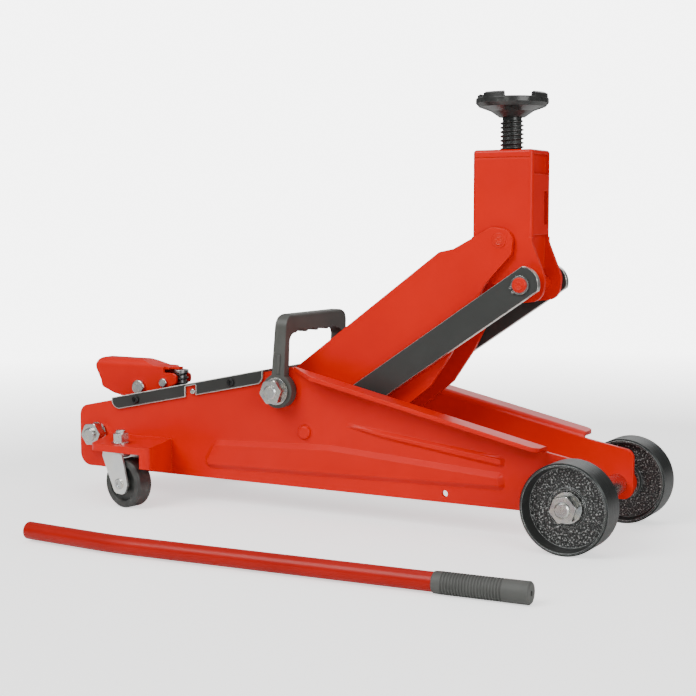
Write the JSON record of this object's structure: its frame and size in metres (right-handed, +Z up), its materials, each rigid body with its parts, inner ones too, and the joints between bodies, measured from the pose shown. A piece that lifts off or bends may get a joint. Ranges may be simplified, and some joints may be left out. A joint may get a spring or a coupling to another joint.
{
  "type": "hydraulic trolley jack",
  "caption": "Low wheeled floor jack: plated steel frame, hydraulic ram, raised lift arm with saddle on a screw, swivel casters, carry handle and loose pump handle.",
  "frame": {"origin": "on the floor, straight below the middle of the front axle, on the plane of symmetry", "axes": "+X towards the front wheels, +Y to the left side, +Z up, the way the saddle faces"},
  "size_m": [0.6212, 0.4064, 0.4095],
  "materials": {
    "red paint": "gloss",
    "black paint": "satin",
    "zinc plate": "satin",
    "cast iron": "rough cast",
    "black iron": "satin",
    "bare steel": "satin",
    "chrome": "polished",
    "black plastic": "matt",
    "grip rubber": "matt"
  },
  "bodies": {
    "frame": {"side_plate_right": "red paint", "side_plate_left": "red paint", "front_axle": "zinc plate", "axle_spacers": "red paint", "axle_washers": "zinc plate", "axle_nuts": "zinc plate", "arm_shaft": "zinc plate", "arm_sleeves": "zinc plate", "carry_washers": "zinc plate", "carry_nuts": "zinc plate", "rear_tie_rod": "zinc plate", "rear_tie_washers": "zinc plate", "rear_tie_nuts": "zinc plate", "top_cover": "black paint", "cover_screws": "zinc plate", "cover_cross_pin": "zinc plate", "caster_kingpins": "zinc plate", "caster_races": "zinc plate", "caster_nuts": "zinc plate", "link_rivets": "red paint", "hydraulic_block": "red paint", "cylinder": "bare steel", "reservoir": "red paint", "gland_nut": "red paint", "pump_barrel": "bare steel", "filler_plug": "black plastic", "socket_bolts": "zinc plate", "pump_spring": "black iron"},
    "lift_arm_body": {"lift_arm": "red paint", "crosshead_pin": "bare steel", "tower_pin": "red paint"},
    "tower_body": {"tower": "red paint", "screw_nut": "red paint", "link_pin": "red paint", "link_pin_sleeves": "red paint", "link_pin_clips": "black iron"},
    "saddle_body": {"saddle_screw": "black iron", "saddle": "black iron"},
    "link_right_body": {"link_right": "black paint"},
    "link_left_body": {"link_left": "black paint"},
    "ram_body": {"ram": "chrome", "ram_head": "red paint"},
    "front_wheel_right_body": {"front_wheel_right": "cast iron"},
    "front_wheel_left_body": {"front_wheel_left": "cast iron"},
    "caster_right_body": {"caster_fork_right": "zinc plate", "caster_axle_right": "zinc plate"},
    "caster_left_body": {"caster_fork_left": "zinc plate", "caster_axle_left": "zinc plate"},
    "caster_wheel_right_body": {"caster_wheel_right": "black iron"},
    "caster_wheel_left_body": {"caster_wheel_left": "black iron"},
    "socket_body": {"handle_socket": "red paint", "nose_bolt": "zinc plate"},
    "plunger_body": {"pump_plunger": "bare steel"},
    "carry_handle_body": {"carry_handle": "black plastic"},
    "release_valve_body": {"release_valve": "zinc plate"},
    "pump_handle_body": {"handle_tube": "red paint", "handle_grip": "grip rubber"}
  },
  "joints": [
    {"name": "arm_lift", "type": "hinge", "parent": "frame", "child": "lift_arm_body", "pos_m": [-0.314, 0, 0.123], "axis": [0, -1, 0], "range_deg": [-37.2, 16]},
    {"name": "tower_level", "type": "hinge", "parent": "lift_arm_body", "child": "tower_body", "pos_m": [-0.0915, 0, 0.273], "axis": [0, -1, 0], "range_deg": [-16.2, 37.4]},
    {"name": "link_right_swing", "type": "hinge", "parent": "frame", "child": "link_right_body", "pos_m": [-0.288, -0.0358, 0.0825], "axis": [0, -1, 0], "range_deg": [-37.4, 16.2]},
    {"name": "link_left_swing", "type": "hinge", "parent": "frame", "child": "link_left_body", "pos_m": [-0.288, 0.0358, 0.0825], "axis": [0, -1, 0], "range_deg": [-37.4, 16.2]},
    {"name": "ram_push", "type": "slide", "parent": "frame", "child": "ram_body", "axis": [1, 0, 0], "range_m": [-0.038, 0.0165]},
    {"name": "saddle_extend", "type": "slide", "parent": "tower_body", "child": "saddle_body", "axis": [0, 0, 1], "range_m": [-0.028, 0.02]},
    {"name": "front_wheel_right_spin", "type": "hinge", "parent": "frame", "child": "front_wheel_right_body", "pos_m": [0, -0.08, 0.041], "axis": [0, 1, 0], "continuous": true},
    {"name": "front_wheel_left_spin", "type": "hinge", "parent": "frame", "child": "front_wheel_left_body", "pos_m": [0, 0.08, 0.041], "axis": [0, 1, 0], "continuous": true},
    {"name": "caster_right_swivel", "type": "hinge", "parent": "frame", "child": "caster_right_body", "pos_m": [-0.477, -0.102, 0.055], "axis": [0, 0, 1], "continuous": true},
    {"name": "caster_left_swivel", "type": "hinge", "parent": "frame", "child": "caster_left_body", "pos_m": [-0.477, 0.102, 0.055], "axis": [0, 0, 1], "continuous": true},
    {"name": "caster_wheel_right_spin", "type": "hinge", "parent": "caster_right_body", "child": "caster_wheel_right_body", "pos_m": [-0.46614, -0.10372, 0.025], "axis": [0.1564, 0.9877, 0], "continuous": true},
    {"name": "caster_wheel_left_spin", "type": "hinge", "parent": "caster_left_body", "child": "caster_wheel_left_body", "pos_m": [-0.46614, 0.10372, 0.025], "axis": [-0.1564, 0.9877, 0], "continuous": true},
    {"name": "pump", "type": "hinge", "parent": "frame", "child": "socket_body", "pos_m": [-0.52, 0, 0.1107], "axis": [0, 1, 0], "range_deg": [0, 28], "stiffness_Nm_per_rad": 4, "springref_deg": -17.19},
    {"name": "plunger_stroke", "type": "slide", "parent": "frame", "child": "plunger_body", "axis": [0, 0, -1], "range_m": [0, 0.0242], "deforming": ["pump_spring"]},
    {"name": "carry_handle_fold", "type": "hinge", "parent": "frame", "child": "carry_handle_body", "pos_m": [-0.314, 0, 0.123], "axis": [0, -1, 0], "range_deg": [0, 28]},
    {"name": "release_turn", "type": "hinge", "parent": "frame", "child": "release_valve_body", "pos_m": [-0.52, -0.017, 0.084], "axis": [1, 0, 0], "range_deg": [0, 270]},
    {"name": "pump_handle_lift", "type": "slide", "parent": "frame", "child": "pump_handle_body", "axis": [0, 0, 1], "range_m": [0, 0.12]}
  ],
  "couplings": [
    {"joint": "tower_level", "follows": "arm_lift", "ratio": -1},
    {"joint": "link_right_swing", "follows": "arm_lift", "ratio": 1},
    {"joint": "link_left_swing", "follows": "arm_lift", "ratio": 1},
    {"joint": "ram_push", "follows": "arm_lift", "m_per_rad": 0.0575},
    {"joint": "plunger_stroke", "follows": "pump", "m_per_rad": 0.049}
  ]
}
